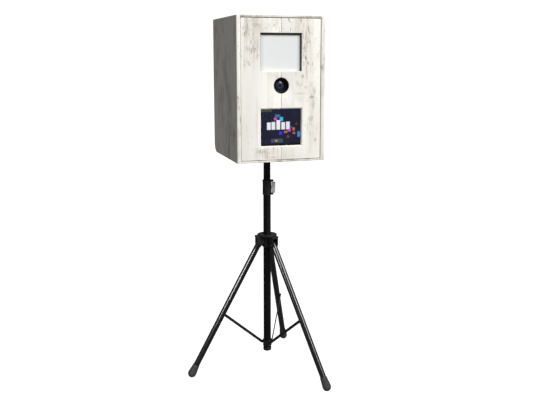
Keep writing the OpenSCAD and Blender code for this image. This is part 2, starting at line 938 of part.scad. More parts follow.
// a flat bar beside its leg, with the head of its upper rivet
module brace(k) {
    color("black") on_pole() rotate([0, 0, leg_turns[k]])
        translate([brace_low_r, 0, brace_low_z]) rotate([0, -brace_rise, 0])
        difference() {
            union() {
                y_rod(brace_w, brace_y, brace_y + brace_t);
                block([0, brace_y, -brace_w / 2],
                      [brace_len, brace_y + brace_t, brace_w / 2]);
                translate([brace_len, 0, 0]) {
                    y_rod(brace_w, brace_y, brace_y + brace_t);
                    y_rod(rivet_head_d, brace_y - 2, brace_y);
                }
            }
            y_rod(rivet_d + 2 * run_gap, brace_y - 1, brace_y + brace_t + 1);
        }
}

module leg_left() { leg(LEFT); }
module leg_rear() { leg(REAR); }
module leg_front() { leg(FRONT); }
module foot_left() { foot(LEFT); }
module foot_rear() { foot(REAR); }
module foot_front() { foot(FRONT); }
module brace_left() { brace(LEFT); }
module brace_rear() { brace(REAR); }
module brace_front() { brace(FRONT); }

side_panel_left();
side_panel_right();
top_panel();
bottom_panel();
front_board_left();
front_board_right();
cleats();
service_plate();
mains_inlet();
switch_frame();
power_rocker();
rear_door();
hinge_frame_leaves();
hinge_door_leaves();
hinge_pins();
lock_body();
lock_cam();
door_vent();
fan_frame();
fan_rotor();
light_tray();
led_panel();
diffuser();
diffuser_frame();
camera_bracket();
camera_screw();
camera_body();
shutter_button();
lens_barrel();
focus_ring();
lens_glass();
lens_shroud();
screen_chassis();
screen_glass();
mini_computer();
computer_button();
power_supply();
wiring();
pole_socket();
socket_bolts();
upper_tube();
pole_plugs();
lower_tube();
end_cap();
clamp_collar();
clamp_knob();
brace_collar();
collar_rivets();
hub();
hub_bolts();
hub_knob();
leg_left();
leg_rear();
leg_front();
foot_left();
foot_rear();
foot_front();
brace_left();
brace_rear();
brace_front();
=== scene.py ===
import json
import math

import bpy
from mathutils import Matrix, Vector


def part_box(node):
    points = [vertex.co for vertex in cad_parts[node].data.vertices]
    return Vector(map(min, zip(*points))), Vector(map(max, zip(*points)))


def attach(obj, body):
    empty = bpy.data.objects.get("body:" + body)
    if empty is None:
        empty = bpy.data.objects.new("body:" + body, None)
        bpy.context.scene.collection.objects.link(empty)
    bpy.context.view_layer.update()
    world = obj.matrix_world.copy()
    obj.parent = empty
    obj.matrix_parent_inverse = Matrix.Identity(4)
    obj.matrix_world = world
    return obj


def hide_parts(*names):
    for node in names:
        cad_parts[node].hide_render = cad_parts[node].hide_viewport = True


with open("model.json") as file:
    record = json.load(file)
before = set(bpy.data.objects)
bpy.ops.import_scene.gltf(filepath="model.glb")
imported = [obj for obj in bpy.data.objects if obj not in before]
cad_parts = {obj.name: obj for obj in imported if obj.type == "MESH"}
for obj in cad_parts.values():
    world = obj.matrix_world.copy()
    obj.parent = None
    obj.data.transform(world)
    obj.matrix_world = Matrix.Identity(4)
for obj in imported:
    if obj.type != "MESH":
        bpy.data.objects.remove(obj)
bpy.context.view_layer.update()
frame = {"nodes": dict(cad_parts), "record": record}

# where things are, read from the frame

tubeLow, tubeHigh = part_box("lower_tube")
poleX = (tubeLow.x + tubeHigh.x) / 2
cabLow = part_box("side_panel_left")[0]
floorOfCab = cabLow.z
mm = 0.001
# wide, foot, height and flare in the front boards, and the lens's width and height in them
openings = {"window": (200, 420, 174, 1.0), "screen": (196, 76, 171, 5.0), "lens": (74, 355)}


def inCab(x, y, z):
    # millimetres in the cabinet, from the middle of its underside
    return Vector((poleX + x * mm, y * mm, floorOfCab + z * mm))


# shader writing

class Wire:
    # one output of a node, so that sums can be written as sums
    def __init__(self, finish, socket):
        self.finish = finish
        self.socket = socket

    def sum(self, operation, first, second=None):
        values = {0: first} if second is None else {0: first, 1: second}
        return self.finish.node("ShaderNodeMath", {"operation": operation}, values)

    def __add__(self, other):
        return self.sum("ADD", self, other)

    def __radd__(self, other):
        return self.sum("ADD", other, self)

    def __sub__(self, other):
        return self.sum("SUBTRACT", self, other)

    def __rsub__(self, other):
        return self.sum("SUBTRACT", other, self)

    def __mul__(self, other):
        return self.sum("MULTIPLY", self, other)

    def __rmul__(self, other):
        return self.sum("MULTIPLY", other, self)

    def __truediv__(self, other):
        return self.sum("DIVIDE", self, other)

    def __abs__(self):
        return self.sum("ABSOLUTE", self)

    def most(self, other):
        return self.sum("MAXIMUM", self, other)

    def root(self):
        return self.sum("SQRT", self)


class Finish:
    # a material, and one method that adds any node to it
    def __init__(self, name):
        self.material = bpy.data.materials.new(name)
        self.material.use_nodes = True
        self.tree = self.material.node_tree
        self.tree.nodes.clear()
        self.place = self.node("ShaderNodeTexCoord", out="Object")

    def node(self, kind, settings=None, values=None, out=0):
        made = self.tree.nodes.new(kind)
        for key, value in (settings or {}).items():
            if key == "stops":
                ramp = made.color_ramp
                for i, (at, colour) in enumerate(value):
                    stop = ramp.elements[i] if i < 2 else ramp.elements.new(at)
                    stop.position = at
                    stop.color = (*colour, 1)
            else:
                setattr(made, key, value)
        for key, value in (values or {}).items():
            if isinstance(value, Wire):
                self.tree.links.new(value.socket, made.inputs[key])
            else:
                made.inputs[key].default_value = value
        return Wire(self, made.outputs[out])

    def axes(self, place=None):
        split = self.node("ShaderNodeSeparateXYZ", values={0: place or self.place})
        outs = split.socket.node.outputs
        return [Wire(self, outs[i]) for i in range(3)]

    def stretched(self, scale, shift=(0, 0, 0), turn=(0, 0, 0), place=None):
        return self.node("ShaderNodeMapping", values={
            "Vector": place or self.place, "Scale": scale, "Location": shift, "Rotation": turn})

    def noise(self, place, scale=1.0, detail=4.0, rough=0.5, swirl=0.0):
        return self.node("ShaderNodeTexNoise", values={
            "Vector": place, "Scale": scale, "Detail": detail, "Roughness": rough,
            "Distortion": swirl})

    def cells(self, place, scale, out="Distance"):
        return self.node("ShaderNodeTexVoronoi", values={"Vector": place, "Scale": scale}, out=out)

    def between(self, value, low, high, to=(0.0, 1.0)):
        return self.node("ShaderNodeMapRange", {"interpolation_type": "SMOOTHSTEP"}, {
            "Value": value, "From Min": low, "From Max": high, "To Min": to[0], "To Max": to[1]})

    def blend(self, share, a, b, how="MIX"):
        def paint(c):
            return c if isinstance(c, Wire) else (*c, 1)

        return self.node("ShaderNodeMix", {"data_type": "RGBA", "blend_type": how},
                         {0: share, 6: paint(a), 7: paint(b)}, out=2)

    def ramp(self, value, stops):
        return self.node("ShaderNodeValToRGB", {"stops": stops}, {0: value})

    def bump(self, height, strength=0.3, depth=0.001, under=None):
        values = {"Height": height, "Strength": strength, "Distance": depth}
        if under is not None:
            values["Normal"] = under
        return self.node("ShaderNodeBump", values=values)

    def done(self, **sockets):
        shader = self.node("ShaderNodeBsdfPrincipled", values={
            key.replace("_", " "): value for key, value in sockets.items()})
        out = self.tree.nodes.new("ShaderNodeOutputMaterial")
        self.tree.links.new(shader.socket, out.inputs["Surface"])
        return self.material


# finishes

limed = {"paint": (0.95, 0.93, 0.865), "tan": (0.72, 0.655, 0.555), "grey": (0.53, 0.49, 0.43),
         "dark": (0.16, 0.14, 0.115), "ageFrom": 250, "ageTo": 700,
         # x, z, half width, half height of each rubbed patch, then how much is gone
         "worn": [(-165, 560, 40, 130, 0.09), (140, 340, 52, 130, 0.26), (130, 560, 60, 110, 0.24),
                  (-60, 640, 60, 30, 0.10), (160, 150, 30, 90, 0.22), (0, 30, 150, 40, 0.16),
                  (-70, 55, 60, 26, 0.16), (55, 290, 60, 22, 0.14)],
         "smears": [(96, 317, 30, 6, 1.0), (-98, 52, 20, 11, 0.9), (-118, 628, 20, 9, 0.6),
                    (150, 300, 13, 8, 0.9), (158, 262, 9, 30, 0.7), (146, 200, 12, 14, 0.7),
                    (-40, 22, 34, 6, 0.6), (162, 330, 8, 20, 0.6), (120, 345, 10, 8, 0.6),
                    (103, 395, 8, 9, 0.7)]}


def limedWood(name, along="z", tone=1.0, wear=0.5, seed=0.0, contrast=1.0, shaped=False):
    # white paint rubbed thin over open grain
    wood = Finish(name)
    x, y, z = wood.axes()

    def patch(atX, atZ, halfWide, halfTall, amount, edge):
        # full in the middle of an oval on the front, and gone past its edge
        dx = (x - (poleX + atX * mm)) / (halfWide * mm)
        dz = (z - (floorOfCab + atZ * mm)) / (halfTall * mm)
        return wood.between((dx * dx + dz * dz).root(), 0.2, edge, (amount, 0.0))

    scale = {"z": (1, 1, 0.05), "y": (1, 0.05, 1)}[along]
    shift = (seed * 1.37, seed * 0.71, seed * 0.53)
    swirl = wood.node("ShaderNodeVectorMath", {"operation": "SCALE"}, {
        0: wood.node("ShaderNodeTexNoise", values={
            "Vector": wood.stretched((7, 7, 4), shift), "Scale": 1.0, "Detail": 3}, out="Color"),
        "Scale": 0.014})
    bent = wood.node("ShaderNodeVectorMath", {"operation": "ADD"},
                     {0: wood.stretched(scale, shift), 1: swirl})
    broad = wood.noise(bent, 45, 5, 0.6)
    fine = wood.noise(bent, 230, 4, 0.65)
    short = {"z": (1, 1, 0.16), "y": (1, 0.16, 1)}[along]
    dashes = wood.noise(wood.stretched(short, shift), 190, 4, 0.7)
    cloud = wood.noise(wood.stretched((7, 7, 4), shift), 1.0, 6, 0.62)
    blot = wood.noise(wood.stretched((19, 19, 8), shift), 1.0, 5, 0.65)
    if shaped:
        age = wood.between(z, floorOfCab + limed["ageFrom"] * mm, floorOfCab + limed["ageTo"] * mm)
        rubbed = age * 0.24
        for worn in limed["worn"]:
            rubbed = rubbed + patch(*worn, 1.6)
    else:
        rubbed = wood.between(cloud, 0.35, 0.7) * wear
    warm = wood.between(rubbed + (cloud - 0.5) * 1.2 + (broad - 0.5) * 1.0, 0.0, 0.60)
    greyed = wood.between(rubbed * 0.9 + (blot - 0.5) * 1.7 + (broad - 0.5) * 1.5, 0.20, 0.66)
    streak = wood.between(fine * 0.6 + broad * 0.45 + rubbed * 0.32, 0.55, 0.80)
    speck = wood.between(dashes + rubbed * 0.22 + (blot - 0.5) * 0.45, 0.645, 0.75)
    if shaped:
        smear = patch(*limed["smears"][0], 1.5)
        for other in limed["smears"][1:]:
            smear = smear.most(patch(*other, 1.5))
        speck = speck.most(smear * wood.between(dashes * 0.6 + blot * 0.6, 0.46, 0.70))
    colour = wood.blend(warm * 0.58 * contrast, [c * tone for c in limed["paint"]],
                        [c * tone for c in limed["tan"]])
    colour = wood.blend(greyed * 0.42 * contrast, colour, [c * tone for c in limed["grey"]])
    colour = wood.blend(streak * 0.29 * contrast, colour, [c * tone * 0.9 for c in limed["grey"]])
    colour = wood.blend(speck * 0.68 * contrast, colour, [c * tone for c in limed["dark"]])
    height = broad * 0.5 + fine * 0.8 - speck * 0.7 - streak * 0.3
    rough = wood.between(fine + greyed * 0.3, 0.2, 1.0, (0.58, 0.88))
    return wood.done(Base_Color=colour, Roughness=rough,
                     Normal=wood.bump(height, 0.4, 0.0012), Specular_IOR_Level=0.25)


def lacquer(name, colour=(0.006, 0.0062, 0.0068), rough=0.22, wear=0.4, gloss=0.5):
    # powder coat: orange peel, dust and a few rubbed streaks
    coat = Finish(name)
    peel = coat.noise(coat.stretched((1, 1, 1)), 420, 3, 0.5)
    haze = coat.noise(coat.stretched((1, 1, 0.5)), 14, 5, 0.6)
    scuff = coat.between(coat.noise(coat.stretched((1, 1, 0.15)), 160, 4, 0.7), 0.62, 0.75)
    dust = coat.between(haze, 0.45, 0.75)
    pale = [c * 2 + 0.014 for c in colour]
    shade = coat.blend(scuff * wear * 0.5 + dust * 0.12, colour, pale)
    roughness = haze * 0.14 + scuff * 0.2 + (rough - 0.06)
    return coat.done(Base_Color=shade, Roughness=roughness,
                     Normal=coat.bump(peel, 0.25, 0.0003), Specular_IOR_Level=gloss)


def moulded(name, colour, rough=0.5, sparkle=0.06, grain=0.35, size=900):
    # fine spark-eroded texture of a plastic moulding
    plastic = Finish(name)
    pit = plastic.noise(plastic.place, size, 3, 0.55)
    cloud = plastic.noise(plastic.place, 18, 4, 0.55)
    worn = plastic.between(plastic.noise(plastic.place, 70, 5, 0.7), 0.6, 0.8)
    light = [min(1, c + sparkle) for c in colour]
    shade = plastic.blend(cloud * 0.5 + worn * 0.25, colour, light)
    roughness = cloud * 0.16 + worn * 0.1 + (rough - 0.1)
    return plastic.done(Base_Color=shade, Roughness=roughness,
                        Normal=plastic.bump(pit, grain, 0.00025), Specular_IOR_Level=0.45)


def brushed(name, colour=(0.62, 0.62, 0.63), rough=0.28, along=(1, 1, 0.03), scale=700):
    metal = Finish(name)
    lines = metal.noise(metal.stretched(along), scale, 3, 0.6)
    stain = metal.noise(metal.place, 25, 5, 0.6)
    dull = metal.blend(stain, colour, [c * 0.72 for c in colour])
    return metal.done(Base_Color=dull, Metallic=1.0,
                      Roughness=lines * 0.2 + stain * 0.15 + (rough - 0.15),
                      Normal=metal.bump(lines, 0.18, 0.0002))


def rubber(name, colour=(0.012, 0.012, 0.0125)):
    stuff = Finish(name)
    grit = stuff.noise(stuff.place, 650, 4, 0.6)
    dust = stuff.between(stuff.noise(stuff.place, 40, 5, 0.65), 0.42, 0.72)
    shade = stuff.blend(dust * 0.5, colour, (0.045, 0.044, 0.042))
    return stuff.done(Base_Color=shade, Roughness=dust * 0.12 + grit * 0.1 + 0.62,
                      Normal=stuff.bump(grit, 0.5, 0.0004))


def opal(name):
    # satin acrylic, a little uneven, with painted shade from the window's reveals greying it towards its
    # left and right edges
    sheet = Finish(name)
    x, y, z = sheet.axes()
    low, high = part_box("diffuser")
    across = abs(x - poleX) / ((high.x - low.x) / 2)
    cloud = sheet.noise(sheet.place, 5, 3, 0.5)
    frost = sheet.noise(sheet.place, 1400, 2, 0.5)
    # painted shade: this mask and the grey below stand for the reveals' shadow on the sheet's left and
    # right edges
    edge = sheet.between(across, 0.66, 0.90)
    shade = sheet.blend(edge * 0.75 + cloud * 0.18, (0.87, 0.87, 0.855), (0.60, 0.62, 0.64))
    return sheet.done(Base_Color=shade, Roughness=frost * 0.12 + cloud * 0.08 + 0.34,
                      Normal=sheet.bump(frost, 0.12, 0.0002), Subsurface_Weight=0.05)


bareWood = {"early": (0.72, 0.53, 0.32), "late": (0.50, 0.32, 0.16)}


def softwood(name):
    wood = Finish(name)
    wobble = wood.noise(wood.stretched((4, 4, 2)), 1.0, 3)
    rings = wood.node("ShaderNodeTexWave", {"bands_direction": "X"}, {
        "Vector": wood.stretched((1, 1, 0.06)), "Scale": 38.0, "Distortion": 5.0,
        "Detail": 3.0, "Detail Scale": 1.5}, out="Fac")
    fibre = wood.noise(wood.stretched((1, 1, 0.05)), 500, 4, 0.6)
    colour = wood.blend(rings * 0.5 + fibre * 0.3, bareWood["early"], bareWood["late"])
    return wood.done(Base_Color=colour, Roughness=fibre * 0.2 + wobble * 0.1 + 0.5,
                     Normal=wood.bump(fibre + rings * 0.4, 0.3, 0.0006))


def coatedGlassWithPaintedRings(name):
    # near-black glass with the violet and blue cast of a coated lens, and brighter blue rings at set
    # radii painted as reflections of the inner lens rings
    glass = Finish(name)
    x, y, z = glass.axes()
    dx, dz = x - poleX, z - (floorOfCab + openings["lens"][1] * mm)
    reach = (dx * dx + dz * dz).root() / 0.026
    dust = glass.between(glass.noise(glass.place, 700, 3, 0.6), 0.62, 0.8)
    # painted reflections: the brighter bands of this ramp stand for the lens's inner rings
    rings = glass.ramp(reach, [(0.0, (0.004, 0.004, 0.007)), (0.30, (0.010, 0.012, 0.026)),
                               (0.42, (0.055, 0.070, 0.115)), (0.52, (0.012, 0.014, 0.028)),
                               (0.70, (0.030, 0.036, 0.060)), (0.82, (0.006, 0.006, 0.010)),
                               (1.0, (0.003, 0.003, 0.004))])
    return glass.done(Base_Color=glass.blend(dust * 0.15, rings, (0.3, 0.3, 0.32)),
                      Roughness=dust * 0.2 + 0.24, Normal=glass.bump(dust, 0.05, 0.0001),
                      Specular_IOR_Level=0.35)


screenPicture = {
    "ground": (0.0105, 0.0115, 0.030), "foot": (0.0008, 0.0008, 0.0012), "glow": 1.0,
    # x from the middle, z from the underside, half width, half height, softness, colour
    "marks": [
        (-68, 240, 27, 5, 4, (0.060, 0.070, 0.048)), (-15, 215, 12, 6, 8, (0.07, 0.16, 0.34)),
        (-25, 201, 7, 6, 5, (0.60, 0.09, 0.55)), (4, 200, 8, 9, 5, (0.05, 0.50, 0.80)),
        (-57, 168, 9, 17, 3, (0.82, 0.82, 0.86)), (-35, 169, 9, 18, 3, (0.80, 0.80, 0.85)),
        (-11, 173, 9, 22, 3, (0.84, 0.85, 0.90)), (13, 168, 9, 17, 3, (0.80, 0.80, 0.85)),
        (36, 169, 9, 18, 3, (0.78, 0.78, 0.83)), (0, 134, 8, 8, 4, (0.03, 0.04, 0.66)),
        (42, 146, 8, 6, 5, (0.52, 0.07, 0.50)), (25, 139, 8, 5, 4, (0.50, 0.14, 0.05)),
        (64, 152, 6, 7, 5, (0.55, 0.14, 0.05)), (66, 133, 6, 5, 4, (0.48, 0.13, 0.06)),
        (37, 117, 5, 5, 5, (0.26, 0.05, 0.05)), (78, 176, 5, 4, 4, (0.16, 0.04, 0.03)),
        (50, 161, 5, 5, 5, (0.05, 0.10, 0.40)), (89, 127, 6, 13, 6, (0.05, 0.26, 0.58)),
        (-17, 99, 29, 9, 5, (0.055, 0.080, 0.120)), (-21, 99, 5, 4, 4, (0.55, 0.33, 0.12))]}


def litScreen(name):
    # a plain attract picture: bars, squares and sparks on dark blue
    glass = Finish(name)
    x, y, z = glass.axes()
    across, up = (x - poleX) / mm, (z - floorOfCab) / mm
    pixels = glass.noise(glass.place, 900, 2, 0.5)
    haze = glass.noise(glass.place, 16, 4, 0.6)
    colour = glass.blend(glass.between(up, 77, 92), screenPicture["foot"], screenPicture["ground"])
    colour = glass.blend(glass.between(haze, 0.45, 0.8) * 0.35, colour, (0.03, 0.035, 0.06))
    sparks = glass.cells(glass.place, 150)
    band = (glass.between(abs(up - 215), 10, 34, (1.0, 0.0))
            * glass.between(across, -30, 10, (1.0, 0.0)))
    colour = glass.blend(glass.between(sparks, 0.10, 0.26, (1.0, 0.0)) * band * 0.6, colour,
                         (0.05, 0.22, 0.07))
    for cx, cz, wide, tall, soft, paint in screenPicture["marks"]:
        spot = (glass.between(abs(across - cx), wide - soft / 2, wide + soft / 2, (1.0, 0.0))
                * glass.between(abs(up - cz), tall - soft / 2, tall + soft / 2, (1.0, 0.0)))
        colour = glass.blend(spot, colour, paint)
    grease = glass.between(glass.noise(glass.place, 60, 5, 0.65), 0.5, 0.75)
    return glass.done(Base_Color=glass.blend(grease, (0.004, 0.004, 0.005), (0.008, 0.008, 0.009)),
                      Emission_Color=colour, Emission_Strength=screenPicture["glow"],
                      Roughness=grease * 0.15 + pixels * 0.05 + 0.08,
                      Normal=glass.bump(grease, 0.04, 0.0001), Specular_IOR_Level=0.2)


finishes = {
    "front": limedWood("limedFront", seed=1.0, shaped=True),
    "side": limedWood("limedSide", tone=0.95, wear=0.42, seed=3.2, contrast=1.1),
    "top": limedWood("limedTop", along="y", tone=0.9, wear=0.7, seed=5.1),
    "door": limedWood("limedDoor", wear=0.5, seed=7.7),
    "bare": softwood("planedPine"),
    "tube": lacquer("glossPowderCoat", (0.0045, 0.0047, 0.0052), 0.19, 0.3),
    "pole": lacquer("satinPowderCoat", (0.0022, 0.0023, 0.0028), 0.46, 0.2, 0.25),
    "steelBlack": lacquer("blackSteel", rough=0.35, wear=0.7),
    "plastic": moulded("blackNylon", (0.009, 0.009, 0.0095), 0.45, 0.012),
    # partly painted shade: a real frame, whose brown stands for the shaded lines along the window's top
    # and right reveals
    "frame": moulded("frameBrownAsRevealShade", (0.075, 0.064, 0.054), 0.5, 0.02),
    "grey": moulded("greyNylon", (0.78, 0.78, 0.78), 0.42, 0.06),
    "red": moulded("redSwitch", (0.5, 0.02, 0.015), 0.3, 0.04),
    "zinc": brushed("zincPlate"),
    "darkZinc": brushed("blackZinc", (0.05, 0.05, 0.052), 0.42),
    "alloy": brushed("sheetAlloy", (0.6, 0.6, 0.61), 0.36),
    "enamel": moulded("whiteEnamel", (0.80, 0.80, 0.79), 0.4, 0.05),
    "lamps": moulded("lampBoard", (0.82, 0.79, 0.55), 0.4, 0.08),
    "foot": rubber("footRubber"),
    "ring": rubber("ringRubber", (0.008, 0.008, 0.008)),
    "lead": rubber("leadJacket", (0.02, 0.02, 0.021)),
    "opal": opal("opalSheetWithPaintedEdgeShade"),
    "lens": coatedGlassWithPaintedRings("coatedGlassWithPaintedRings"),
    "picture": litScreen("litScreen"),
}
slotFinish = {
    "painted_wood": "front", "bare_wood": "bare", "black_steel": "tube",
    "black_plastic": "plastic", "red_plastic": "red", "zinc_steel": "zinc",
    "white_metal": "enamel", "led_board": "lamps", "opal_plastic": "opal",
    "grey_metal": "alloy", "ring_rubber": "ring", "lens_coating": "plastic",
    "screen": "picture", "lead_rubber": "lead", "grey_plastic": "grey", "foot_rubber": "foot",
}


def dress(piece, finish):
    piece.data.materials.clear()
    piece.data.materials.append(finishes[finish])


nodeSlots = {part["node"]: part["material_slot"] for part in frame["record"]["subparts"]}
special = {"side_panel_left": "side", "side_panel_right": "side", "top_panel": "top",
           "bottom_panel": "top", "rear_door": "door", "diffuser_frame": "frame"}
for name, piece in frame["nodes"].items():
    dress(piece, special.get(name, slotFinish[nodeSlots[name]]))
print("finishes: done")

# modelling


def choose(*pieces):
    if bpy.context.object and bpy.context.object.mode != "OBJECT":
        bpy.ops.object.mode_set(mode="OBJECT")
    bpy.ops.object.select_all(action="DESELECT")
    for piece in pieces:
        piece.select_set(True)
    if pieces:
        bpy.context.view_layer.objects.active = pieces[0]


def settle(name):
    # puts a new primitive's place and size into its mesh
    bpy.ops.object.transform_apply(location=True, rotation=True, scale=True)
    piece = bpy.context.object
    piece.name = name
    piece.data.name = name
    return piece


def block(name, low, high):
    choose()
    low, high = Vector(low), Vector(high)
    bpy.ops.mesh.primitive_cube_add(size=1, location=(low + high) / 2)
    bpy.context.object.scale = high - low
    return settle(name)


def pick(piece, kind, test):
    # leaves edit mode on, with what passes the test selected
    choose(piece)
    bpy.ops.object.mode_set(mode="EDIT")
    bpy.ops.mesh.select_mode(type=kind)
    bpy.ops.mesh.select_all(action="DESELECT")
    bpy.ops.object.mode_set(mode="OBJECT")
    mesh = piece.data
    if kind == "FACE":
        for face in mesh.polygons:
            face.select = test(face.center, face.normal)
    else:
        for edge in mesh.edges:
            a, b = (mesh.vertices[i].co for i in edge.vertices)
            edge.select = test((a + b) / 2, (b - a).normalized())
    bpy.ops.object.mode_set(mode="EDIT")


def leave():
    bpy.ops.object.mode_set(mode="OBJECT")


def modify(piece, kind, **settings):
    choose(piece)
    bpy.ops.object.modifier_add(type=kind)
    added = piece.modifiers[-1]
    for key, value in settings.items():
        setattr(added, key, value)
    bpy.ops.object.modifier_apply(modifier=added.name)


def ease(piece, width, steps=3, angle=40):
    modify(piece, "BEVEL", width=width * mm, segments=steps, limit_method="ANGLE",
           angle_limit=math.radians(angle), use_clamp_overlap=True)


def fuse(piece, *others, how="UNION"):
    for other in others:
        modify(piece, "BOOLEAN", object=other, operation=how, solver="EXACT")
        bpy.data.objects.remove(other)
    return piece


def roundEdges(piece, test, radius, steps=8):
    pick(piece, "EDGE", test)
    bpy.ops.mesh.bevel(offset=radius * mm, segments=steps, affect="EDGES")
    leave()


def turned(name, profile, steps=48):
    # a ring drawn out along Z and resized at each point of the profile, in millimetres
    choose()
    radius, height = profile[0]
    bpy.ops.mesh.primitive_circle_add(vertices=steps, radius=radius * mm,
                                      location=(0, 0, height * mm), fill_type="NOTHING")
    piece = settle(name)
    bpy.ops.object.mode_set(mode="EDIT")
    bpy.ops.mesh.select_mode(type="EDGE")
    bpy.ops.mesh.select_all(action="SELECT")
    for nextRadius, nextHeight in profile[1:]:
        bpy.ops.mesh.extrude_region_move(
            TRANSFORM_OT_translate={"value": (0, 0, (nextHeight - height) * mm)})
        grow = nextRadius / radius
        bpy.ops.transform.resize(value=(grow, grow, 1), center_override=(0, 0, nextHeight * mm))
        radius, height = nextRadius, nextHeight
    if profile[-1] != profile[0]:
        bpy.ops.mesh.edge_face_add()
        leave()
        radius, height = profile[0]
        edge = radius * mm * math.cos(math.pi / steps)
        pick(piece, "EDGE", lambda mid, along: abs(mid.z - height * mm) < 1e-7
             and abs(math.hypot(mid.x, mid.y) - edge) < 2e-6)
        bpy.ops.mesh.edge_face_add()
    bpy.ops.mesh.select_all(action="SELECT")
    bpy.ops.mesh.remove_doubles(threshold=0.00008)
    bpy.ops.mesh.select_all(action="SELECT")
    bpy.ops.mesh.normals_make_consistent(inside=False)
    leave()
    return piece


def setDown(piece, matrix):
    # moves a piece and leaves its object at the origin
    piece.matrix_world = matrix
    choose(piece)
    bpy.ops.object.transform_apply(location=True, rotation=True, scale=True)
    return piece


def move(piece, at, toward=(0, 0, 1), roll=0.0):
    # for a piece that was made upright at the origin
    aim = Vector(toward).normalized().rotation_difference(Vector((0, 0, 1))).inverted()
    return setDown(piece, Matrix.Translation(at) @ aim.to_matrix().to_4x4()
                   @ Matrix.Rotation(math.radians(roll), 4, "Z"))


def twin(piece, name, shift):
    # a copy with its own mesh
    other = piece.copy()
    other.data = piece.data.copy()
    other.name = other.data.name = name
    bpy.context.scene.collection.objects.link(other)
    return setDown(other, Matrix.Translation(Vector(shift)))


def joined(piece, *others):
    choose(piece, *others)
    bpy.ops.object.join()
    return piece


def keep(piece, finish, body, *nodes, angle=35):
    choose(piece)
    bpy.ops.object.mode_set(mode="EDIT")
    bpy.ops.mesh.select_all(action="SELECT")
    bpy.ops.mesh.remove_doubles(threshold=0.00001)
    bpy.ops.mesh.dissolve_degenerate(threshold=0.00001)
    leave()
    bpy.ops.object.shade_smooth_by_angle(angle=math.radians(angle))
    dress(piece, finish)
    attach(piece, body)
    if nodes:
        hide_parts(*nodes)
    return piece


tiny = 0.03


def near(value, target, slack=0.0004):
    return abs(value - target) < slack


# cabinet

corners = {"heel": 50, "crown": 10, "lip": 4, "ease": 1.3}


def sidePanel(side):
    low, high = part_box(f"side_panel_{side}")
    panel = block(f"sidePanel.{side}", low, high)
    roundEdges(panel, lambda mid, along: abs(along.x) > 0.9 and near(mid.y, high.y)
               and near(mid.z, low.z), corners["heel"], 14)
    roundEdges(panel, lambda mid, along: abs(along.x) > 0.9 and near(mid.y, high.y)
               and near(mid.z, high.z), corners["crown"], 8)
    outer = high.x if side == "right" else low.x
    roundEdges(panel, lambda mid, along: abs(along.z) > 0.9 and near(mid.y, low.y)
               and near(mid.x, outer), corners["lip"], 5)
    ease(panel, corners["ease"], 3, 50)
    return keep(panel, "side", "cabinet", f"side_panel_{side}")


sidePanel("left")
sidePanel("right")

low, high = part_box("top_panel")
topBoard = block("topBoard", low, high)
roundEdges(topBoard, lambda mid, along: abs(along.x) > 0.9 and near(mid.y, high.y)
           and near(mid.z, high.z), corners["crown"] * 0.85, 8)
ease(topBoard, 1.0, 3, 50)
keep(topBoard, "top", "cabinet", "top_panel")

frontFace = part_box("front_board_left")[0].y
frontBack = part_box("front_board_left")[1].y
boardGap = 1.3


def openingCut(name):
    wide, foot, tall, flare = openings[name]
    left, bottom = poleX - wide / 2 * mm, floorOfCab + foot * mm
    tool = block(name, (left, frontFace + flare * mm, bottom),
                 (left + wide * mm, frontBack + 2 * mm, bottom + tall * mm))
    pick(tool, "FACE", lambda mid, normal: normal.y < -0.9)
    reach = flare + 1
    bpy.ops.mesh.extrude_region_move(TRANSFORM_OT_translate={"value": (0, -reach * mm, 0)})
    bpy.ops.transform.resize(value=(1 + 2 * reach / wide, 1, 1 + 2 * reach / tall))
    leave()
    return tool


def frontBoard(side):
    low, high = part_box(f"front_board_{side}")
    slack = boardGap * mm
    if side == "left":
        low.x, high.x = low.x + slack, high.x - slack / 2
    else:
        low.x, high.x = low.x + slack / 2, high.x - slack
    board = block(f"frontBoard.{side}", low + Vector((0, 0, slack)), high - Vector((0, 0, slack)))
    hole = turned("hole", [(openings["lens"][0] / 2, -20), (openings["lens"][0] / 2, 20)], 64)
    move(hole, (poleX, (low.y + high.y) / 2, floorOfCab + openings["lens"][1] * mm), (0, 1, 0))
    fuse(board, openingCut("window"), openingCut("screen"), hole, how="DIFFERENCE")
    ease(board, 0.6, 3, 50)
    return keep(board, "front", "cabinet", f"front_board_{side}")


frontBoard("left")
frontBoard("right")

low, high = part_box("rear_door")
door = block("rearDoor", low, high)
doorMid, doorFace = 226, 234
vent = {"z": 590, "bore": 76, "clear": 72, "face": 233, "bars": 8, "step": 9.2, "tilt": 32,
        "screws": 44}
lock = {"x": -162, "z": 350, "bore": 19.2}
hinges = {"x": 170, "feet": (110, 510), "screws": (12, 30, 48)}


def doorHole(x, z, bore, steps):
    hole = turned("hole", [(bore / 2, -20), (bore / 2, 20)], steps)
    return move(hole, inCab(x, doorMid, z), (0, 1, 0))


fuse(door, doorHole(0, vent["z"], vent["bore"], 48),
     doorHole(lock["x"], lock["z"], lock["bore"], 32), how="DIFFERENCE")
ease(door, 1.2, 3, 50)
keep(door, "door", "door", "rear_door")
print("cabinet boards: done")

# vent with slanted bars, and hinge screws

